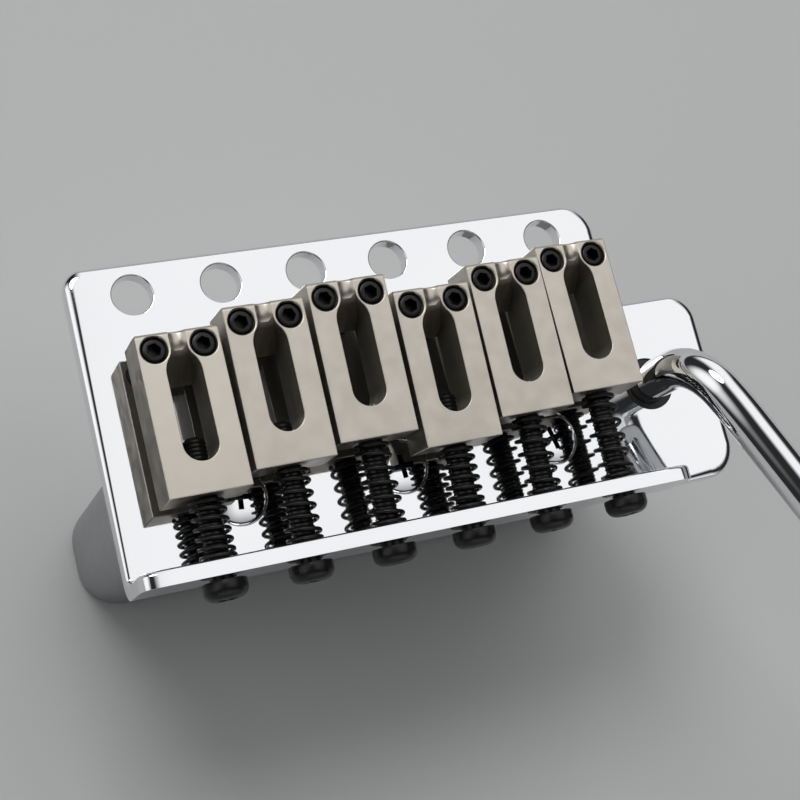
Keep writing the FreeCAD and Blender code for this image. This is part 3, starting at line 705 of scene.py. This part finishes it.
def wind(bm, ring, turns, rise, steps):
    """Winds a closed ring of edges round the Y axis; rise is the climb in one turn."""
    geometry = ring + list({end for edge in ring for end in edge.verts})
    made = bmesh.ops.spin(bm, geom=geometry, cent=(0, 0, 0), axis=(0, 1, 0), dvec=(0, rise / steps, 0),
                          angle=-2 * math.pi * turns, steps=round(turns * steps), use_merge=False)
    return made_of(made["geom_last"], bmesh.types.BMEdge)


def cap_ends(bm):
    bmesh.ops.holes_fill(bm, edges=[edge for edge in bm.edges if edge.is_boundary], sides=0)
    bmesh.ops.recalc_face_normals(bm, faces=bm.faces[:])


def thread(radius, start, end):
    """A ridge wound along Y; its root lies inside the shank."""
    bm = bmesh.new()
    root = radius - THREAD_DEPTH
    place = Matrix.Translation((root, start + THREAD_PITCH / 2, 0))
    ridge = bmesh.ops.create_circle(bm, segments=3, radius=THREAD_DEPTH, matrix=place)["verts"]
    tip = max(ridge, key=lambda vertex: vertex.co.x)
    for vertex in ridge:
        foot = math.copysign(THREAD_PITCH * THREAD_FOOT_SHARE, vertex.co.y - place.translation.y)
        vertex.co.x = radius if vertex is tip else root
        vertex.co.y = place.translation.y + (0 if vertex is tip else foot)
    turns = (end - start - THREAD_PITCH) / THREAD_PITCH
    wind(bm, edges_of(ridge), turns, THREAD_PITCH, 24)
    cap_ends(bm)
    return bm


def draw_down(bm, edges, depth):
    """Draws a rim of edges down and closes it with a floor."""
    made = bmesh.ops.extrude_edge_only(bm, edges=edges)["geom"]
    bmesh.ops.translate(bm, verts=made_of(made, bmesh.types.BMVert), vec=(0, 0, -depth))
    rim = [edge for edge in made_of(made, bmesh.types.BMEdge) if edge.is_boundary]
    bmesh.ops.edgeloop_fill(bm, edges=rim)


def make_grub(length):
    """A grub screw upright along Z, its top at zero."""
    bm = bmesh.new()
    shank = GRUB_RADIUS - SHANK_STEP
    rim = edges_of(bmesh.ops.create_circle(bm, segments=36, radius=shank)["verts"])
    socket = edges_of(bmesh.ops.create_circle(bm, segments=6, radius=SOCKET_RADIUS)["verts"])
    bmesh.ops.triangle_fill(bm, use_beauty=True, use_dissolve=False, edges=bm.edges[:], normal=(0, 0, 1))
    draw_down(bm, rim, length)
    draw_down(bm, socket, SOCKET_DEPTH)
    bmesh.ops.recalc_face_normals(bm, faces=bm.faces[:])
    ends = [edge for edge in sharp_edges(bm, 80)
            if all(abs(end.co.xy.length - shank) < NEAR for end in edge.verts)]
    bevel(bm, ends, GRUB_CHAMFER, 2)
    ridge = thread(GRUB_RADIUS, -length + THREAD_STOP, -GRUB_BROW)
    ridge.transform(Matrix.Rotation(math.pi / 2, 4, "X"))
    add_shape(bm, ridge)
    return bm


def make_height_screws(string):
    low, high = size_in("height_screws_%d" % string, FRAMES[string])
    front = SADDLES[string][1].y
    bm = bmesh.new()
    for side in (-1, 1):
        grub = make_grub(high.z - low.z)
        degrees = SOCKET_TURN * string + SOCKET_SIDE_TURN * side
        turn = Matrix.Rotation(math.radians(degrees), 4, "Z")
        grub.transform(Matrix.Translation((side * BOSS_ACROSS, front - BOSS_BACK, high.z)) @ turn)
        add_shape(bm, grub)
    return finish_piece("grub_screws_%d" % string, bm, FRAMES[string], "height_%d" % string,
                        BLACK, "height_screws_%d" % string, sharp=30)


for string in STRINGS:
    piece = make_height_screws(string)
    print(piece.name, len(piece.data.polygons), "faces")

# %% [markdown]
# A coil spring on each long screw pushes the saddle towards the strings. Winding a ring of edges with a
# spin that also climbs gives the wire: flat closed coils at both ends and open ones between.

# %% Coil springs
WIRE_RADIUS = 0.26
COIL_RADIUS = 2.0
CLOSED_TURNS = 0.75
OPEN_TURNS = 5
CLOSED_PITCH_SHARE = 1.04


def make_spring(string):
    low, high = size_in("intonation_spring_%d" % string, FRAMES[string])
    bm = bmesh.new()
    start = low.y + WIRE_RADIUS
    place = Matrix.Translation((COIL_RADIUS, start, 0))
    ring = edges_of(bmesh.ops.create_circle(bm, segments=12, radius=WIRE_RADIUS, matrix=place)["verts"])
    closed_rise = 2 * WIRE_RADIUS * CLOSED_PITCH_SHARE
    open_rise = (high.y - low.y - 2 * WIRE_RADIUS - 2 * CLOSED_TURNS * closed_rise) / OPEN_TURNS
    for turns, rise in ((CLOSED_TURNS, closed_rise), (OPEN_TURNS, open_rise), (CLOSED_TURNS, closed_rise)):
        ring = wind(bm, ring, turns, rise, 32)
    cap_ends(bm)
    piece = finish_piece("coil_spring_%d" % string, bm, FRAMES[string], None, BLACK,
                         "intonation_spring_%d" % string)
    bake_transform(piece)
    return piece


for string in STRINGS:
    piece = make_spring(string)
    print(piece.name, len(piece.data.polygons), "faces")

# %% [markdown]
# The long screws draw the saddles back through the lip. The shank and its domed head are one turned
# profile, with a thread wound round the shank. The cross in the head is cut with a plug that narrows with
# depth, like the point of the driver that fits it.

# %% Saddle screws
SCREW_RADIUS = 1.5
HEAD_RADIUS = 2.7
HEAD_HEIGHT = 2.2
HEAD_ROUND = 1.3
HEAD_RIM = 0.15
HEAD_TURN = 31
HEAD_CROSS = (1.55, 0.75, 1.5)
CROSS_POINT_SHARE = 0.55
CROSS_OVERRUN = 0.1
TIP_CHAMFER = 0.4
THREAD_START = 0.4


def cross_plug(reach, width, depth):
    """A plus-shaped plug along Z that narrows upwards from zero."""
    bm = bmesh.new()
    half = width / 2
    pen = Pen(bm, reach, -half)
    for x, y in ((1, 0), (0, 1), (-1, 0), (0, -1)):
        for out, side in ((reach, half), (half, half), (half, reach)):
            pen.line(out * x - side * y, out * y + side * x)
    fill_outline(bm)
    raise_outline(bm, depth)
    deep = [vertex for vertex in bm.verts if vertex.co.z > depth / 2]
    bmesh.ops.scale(bm, verts=deep, vec=(CROSS_POINT_SHARE, CROSS_POINT_SHARE, 1))
    return bm


def turned_screw(low, high):
    bm = bmesh.new()
    shank, under = SCREW_RADIUS - SHANK_STEP, low.y + HEAD_HEIGHT
    pen = Pen(bm, 0, high.y)
    pen.line(shank - TIP_CHAMFER, high.y)
    pen.line(shank, high.y - TIP_CHAMFER)
    pen.line(shank, under)
    pen.line(HEAD_RADIUS - HEAD_RIM, under)
    pen.arc(HEAD_RADIUS - HEAD_RIM, under - HEAD_RIM, -90, 3)
    pen.line(HEAD_RADIUS, low.y + HEAD_ROUND)
    pen.arc(HEAD_RADIUS - HEAD_ROUND, low.y + HEAD_ROUND, -90, 10)
    pen.line(0, low.y)
    turn_profile(bm, 48)
    return bm


def make_saddle_screw(string):
    low, high = size_in("intonation_screw_%d" % string, FRAMES[string])
    plug = cross_plug(*HEAD_CROSS)
    turn = Matrix.Rotation(math.radians(HEAD_TURN * string), 4, "Y") @ Matrix.Rotation(-math.pi / 2, 4, "X")
    plug.transform(Matrix.Translation((0, low.y - CROSS_OVERRUN, 0)) @ turn)
    bm = combine(turned_screw(low, high), plug, "DIFFERENCE")
    close_up(bm)
    add_shape(bm, thread(SCREW_RADIUS, low.y + HEAD_HEIGHT + THREAD_START, high.y - THREAD_STOP))
    return finish_piece("saddle_screw_%d" % string, bm, FRAMES[string], "screw_%d" % string,
                        BLACK, "intonation_screw_%d" % string, sharp=35)


for string in STRINGS:
    piece = make_saddle_screw(string)
    print(piece.name, len(piece.data.polygons), "faces")

# %% [markdown]
# Three countersunk screws hold the plate on the block. Their polished heads lie level with the plate,
# with a faint dome, a rounded rim and a cross: the same turned profile and plug as before, stood upright.
# The inside of the cross takes the black finish, as painted shade deep in the recess.

# %% Plate screws
PLATE_HEAD_RADIUS = 3.45
PLATE_SHANK_RADIUS = 2.0
PLATE_HEAD_DOME = 0.35
PLATE_HEAD_RIM = 0.12
PLATE_CROSS = (1.6, 0.7, 1.6)
PLATE_CROSS_DEGREES = (-5, 4, 13)
PAINTED_SHADE_FLOOR = 2
PAINTED_SHADE_RIM = 0.15
PAINTED_SHADE_RADIUS = 1.7


def plate_screw(bottom, top):
    bm = bmesh.new()
    pen = Pen(bm, 0, bottom)
    pen.line(PLATE_SHANK_RADIUS - TIP_CHAMFER, bottom)
    pen.line(PLATE_SHANK_RADIUS, bottom + TIP_CHAMFER)
    pen.line(PLATE_SHANK_RADIUS, top - PLATE_HEAD_RADIUS + PLATE_SHANK_RADIUS)
    pen.line(PLATE_HEAD_RADIUS - PLATE_HEAD_RIM, top - PLATE_HEAD_RIM)
    dome = (PLATE_HEAD_RADIUS ** 2 + PLATE_HEAD_DOME ** 2) / (2 * PLATE_HEAD_DOME)
    swing = math.degrees(math.asin((PLATE_HEAD_RADIUS - PLATE_HEAD_RIM) / dome))
    pen.line(PLATE_HEAD_RADIUS - PLATE_HEAD_RIM, top)
    pen.arc(0, top - dome * math.cos(math.radians(swing)), swing, 10)
    turn_profile(bm, 56)
    half_rim = PLATE_HEAD_RIM / 2
    rim = [edge for edge in sharp_edges(bm, 60) if all(end.co.y > top - half_rim for end in edge.verts)]
    bevel(bm, rim, half_rim, 2)
    bm.transform(Matrix.Rotation(math.pi / 2, 4, "X"))
    return bm


def make_plate_screws():
    low, high = (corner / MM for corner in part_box("block_screws"))
    reach = (high.x - low.x) / 2 - PLATE_HEAD_RADIUS
    middle = (low + high) / 2
    bm = bmesh.new()
    for place, degrees in zip((-1, 0, 1), PLATE_CROSS_DEGREES):
        plug = cross_plug(*PLATE_CROSS)
        turn = Matrix.Rotation(math.radians(degrees), 4, "Z") @ Matrix.Rotation(math.pi, 4, "X")
        plug.transform(Matrix.Translation((0, 0, high.z + PLATE_HEAD_DOME + CROSS_OVERRUN)) @ turn)
        screw = combine(plate_screw(low.z, high.z), plug, "DIFFERENCE")
        close_up(screw)
        # Faces deep in the cross get the black finish: painted shade.
        for face in screw.faces:
            spot = face.calc_center_median()
            deep = high.z - PAINTED_SHADE_FLOOR < spot.z < high.z + PLATE_HEAD_DOME - PAINTED_SHADE_RIM
            face.material_index = int(deep and spot.xy.length < PAINTED_SHADE_RADIUS)
        screw.transform(Matrix.Translation((middle.x + place * reach, middle.y, 0)))
        add_shape(bm, screw)
    piece = finish_piece("plate_screws", bm, Matrix.Scale(MM, 4), "base", CHROME,
                         "block_screws", sharp=30)
    piece.data.materials.append(BLACK)
    return piece


piece = make_plate_screws()
print(piece.name, len(piece.data.polygons), "faces")

# %% [markdown]
# The arm is one chromed rod: upright in its bush, bent over in a tight bend, and then nearly straight to
# the player's hand. A ring of edges is drawn along it, extruded where it runs straight and spun where it
# bends, so that the rod stays round and its reflections run unbroken along it. A bend has a radius, an
# angle and steps.

# %% Arm
ARM_RADIUS = 2.6
ARM_DEGREES = -66.5
ARM_DEPTH = 15
ARM_UPRIGHT = 23.5
ARM_BEND = (6.8, 80, 40)
ARM_SWEEP = (55, 6, 8)
ARM_REACH = 58
ARM_DIP = (60, 10, 10)
ARM_END = 24
ARM_CHAMFER = 0.4


class Rod:
    """A ring of edges led along straight runs and bends; the frame's Z points along the rod."""

    def __init__(self, place, radius, segments):
        self.bm = bmesh.new()
        self.place = place
        circle = bmesh.ops.create_circle(self.bm, segments=segments, radius=radius, matrix=place)
        self.ring = edges_of(circle["verts"])

    def straight(self, length):
        made = bmesh.ops.extrude_edge_only(self.bm, edges=self.ring)["geom"]
        verts = made_of(made, bmesh.types.BMVert)
        ahead = self.place.to_3x3() @ Vector((0, 0, length))
        bmesh.ops.translate(self.bm, verts=verts, vec=ahead)
        self.ring = [edge for edge in made_of(made, bmesh.types.BMEdge) if edge.is_boundary]
        self.place = Matrix.Translation(ahead) @ self.place

    def bend(self, radius, degrees, steps):
        centre = self.place @ Vector((radius, 0, 0))
        axis = self.place.to_3x3() @ Vector((0, 1, 0))
        geometry = self.ring + list({end for edge in self.ring for end in edge.verts})
        made = bmesh.ops.spin(self.bm, geom=geometry, cent=centre, axis=axis, dvec=(0, 0, 0),
                              angle=math.radians(degrees), steps=steps, use_merge=False)
        self.ring = made_of(made["geom_last"], bmesh.types.BMEdge)
        turn = Matrix.Rotation(math.radians(degrees), 4, axis)
        self.place = Matrix.Translation(centre) @ turn @ Matrix.Translation(-centre) @ self.place


def make_arm():
    foot = Vector(JOINTS["arm_swing"]["pos_m"]) / MM
    turn = Matrix.Rotation(math.radians(ARM_DEGREES), 4, "Z")
    rod = Rod(Matrix.Translation(foot) @ turn @ Matrix.Translation((0, 0, -ARM_DEPTH)), ARM_RADIUS, 64)
    rod.straight(ARM_UPRIGHT)
    rod.bend(*ARM_BEND)
    rod.bend(*ARM_SWEEP)
    rod.straight(ARM_REACH)
    rod.bend(*ARM_DIP)
    rod.straight(ARM_END)
    bm = rod.bm
    cap_ends(bm)
    bevel(bm, sharp_edges(bm, 60), ARM_CHAMFER, 3)
    return finish_piece("chrome_arm", bm, Matrix.Scale(MM, 4), "arm", ARM_CHROME,
                        "tremolo_arm")


arm = make_arm()
print(arm.name, len(arm.data.polygons), "faces")

# %% [markdown]
# The bush round the arm and the cap at its end are plain turned and moulded shapes. Their solids stay,
# with the plastic finish.

# %% Bush and cap
for node in ("arm_bush", "arm_tip"):
    NODES[node].data.materials.clear()
    NODES[node].data.materials.append(PLASTIC)
    print(node, "keeps its solid")

# %% [markdown]
# A plain pale floor lies at the foot of the block, as in the photograph, and takes its soft shadow.

# %% Floor
FLOOR_REACH = 6


def make_floor():
    bm = bmesh.new()
    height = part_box("tremolo_block")[0].z
    place = Matrix.Translation((0, 0, height))
    bmesh.ops.create_grid(bm, x_segments=1, y_segments=1, size=FLOOR_REACH, matrix=place)
    floor = stand_in("floor", bm)
    material, shader = new_finish("pale_floor", (0.76, 0.765, 0.765), 0.0, 0.85)
    tint_with(material, shader, noise_on(material, 3, 2), (0.75, 0.755, 0.755), (0.77, 0.775, 0.775))
    floor.data.materials.append(material)


make_floor()
print("floor ready")

# %% [markdown]
# The light is one wide, soft window above and before the bridge, in a dim room, so the chrome shows white
# where it faces up and black lines along its rounded edges. A window like this needs no lamp: the world's
# strength follows the direction and fades at the four sides. A round panel at the front casts the shadow,
# and a glow low on the left softens it. Reflections alone show that glow twice as strong, and a pale
# backdrop at the rear: they keep the chrome bright from other sides and lift the saddles' sides, while
# the floor keeps its shadow.

# %% Light
ROOM = 0.025
WINDOW = (("X", -0.14, 0.22), ("X", 0.82, 0.6), ("Y", -0.34, 0.02), ("Z", 0, 0.2))
WINDOW_LIGHT = 1.02
BACKDROP = (("Y", -0.5, -0.8), ("Z", 0, 0.15))
BACKDROP_LIGHT = 0.8
GLOW_WAY = (-0.84, 0.22, 0.5)
GLOW_CONE = (5, 38)
GLOW_LIGHT = 0.55
PANEL_WAY = (-0.16, 0.53, 0.835)
PANEL_DISTANCE = 2.0
PANEL_SIZE = 1.0
PANEL_POWER = 12.2


def add_window(world, sides, strength):
    """Strength inside a window of directions; a side is an axis, where it is dark and where bright."""
    place = add_node(world, "TexCoord")
    parts = add_node(world, "SeparateXYZ")
    wire(world, place.outputs["Generated"], parts.inputs["Vector"])
    light = None
    for axis, dark, bright in sides:
        side = spread(world, parts.outputs[axis], 0, 1, dark, bright)
        side.node.interpolation_type = "SMOOTHSTEP"
        light = side if light is None else join(world, "MULTIPLY", light, side)
    return join(world, "MULTIPLY", light, strength)


def join(world, operation, first, second):
    """Adds or multiplies an output with another output or with a plain number."""
    node = add_node(world, "Math")
    node.operation = operation
    wire(world, first, node.inputs[0])
    if isinstance(second, float):
        node.inputs[1].default_value = second
    else:
        wire(world, second, node.inputs[1])
    return node.outputs["Value"]


def add_glow(world, way, full, edge, strength):
    """Strength that rises smoothly from the edge of a cone to its bright middle, both in degrees."""
    place = add_node(world, "TexCoord")
    facing = add_node(world, "VectorMath")
    facing.operation = "DOT_PRODUCT"
    facing.inputs[1].default_value = Vector(way).normalized()
    wire(world, place.outputs["Generated"], facing.inputs[0])
    edges = [math.cos(math.radians(angle)) for angle in (edge, full)]
    glow = spread(world, facing.outputs["Value"], 0, strength, *edges)
    glow.node.interpolation_type = "SMOOTHSTEP"
    return glow


def add_panel(name, way, distance, size, power):
    lamp = bpy.data.lights.new(name, "AREA")
    lamp.shape = "DISK"
    lamp.size = size
    lamp.energy = power
    panel = bpy.data.objects.new(name, lamp)
    panel.location = Vector(way).normalized() * distance
    panel.rotation_euler = panel.location.to_track_quat("Z", "Y").to_euler()
    bpy.context.scene.collection.objects.link(panel)


world = bpy.data.worlds.new("soft_ceiling")
world.use_nodes = True
background = world.node_tree.nodes["Background"]
background.inputs["Color"].default_value = (1, 1, 1, 1)
glow = add_glow(world, GLOW_WAY, *GLOW_CONE, GLOW_LIGHT)
light = join(world, "ADD", join(world, "ADD", add_window(world, WINDOW, WINDOW_LIGHT), glow), ROOM)
shown = join(world, "ADD", add_window(world, BACKDROP, BACKDROP_LIGHT), glow)
shown = join(world, "MULTIPLY", shown, add_node(world, "LightPath").outputs["Is Glossy Ray"])
wire(world, join(world, "ADD", light, shown), background.inputs["Strength"])
bpy.context.scene.world = world
add_panel("front_panel", PANEL_WAY, PANEL_DISTANCE, PANEL_SIZE, PANEL_POWER)
print("light ready")

# %% [markdown]
# The camera stands where the photograph was taken from: above the left rear corner, looking down.

# %% Camera
LENS = 72.903
NEAREST = 0.01
CAMERA_PLACE = (-0.072052, -0.056646, 0.187674)
CAMERA_DEGREES = (15.9084, -18.5952, -14.6509)

camera = bpy.data.objects.new("camera", bpy.data.cameras.new("camera"))
camera.data.lens = LENS
camera.data.clip_start = NEAREST
camera.location = CAMERA_PLACE
camera.rotation_euler = [math.radians(angle) for angle in CAMERA_DEGREES]
bpy.context.scene.collection.objects.link(camera)
bpy.context.scene.camera = camera
bpy.context.scene.view_settings.view_transform = "Standard"
bpy.context.view_layer.update()
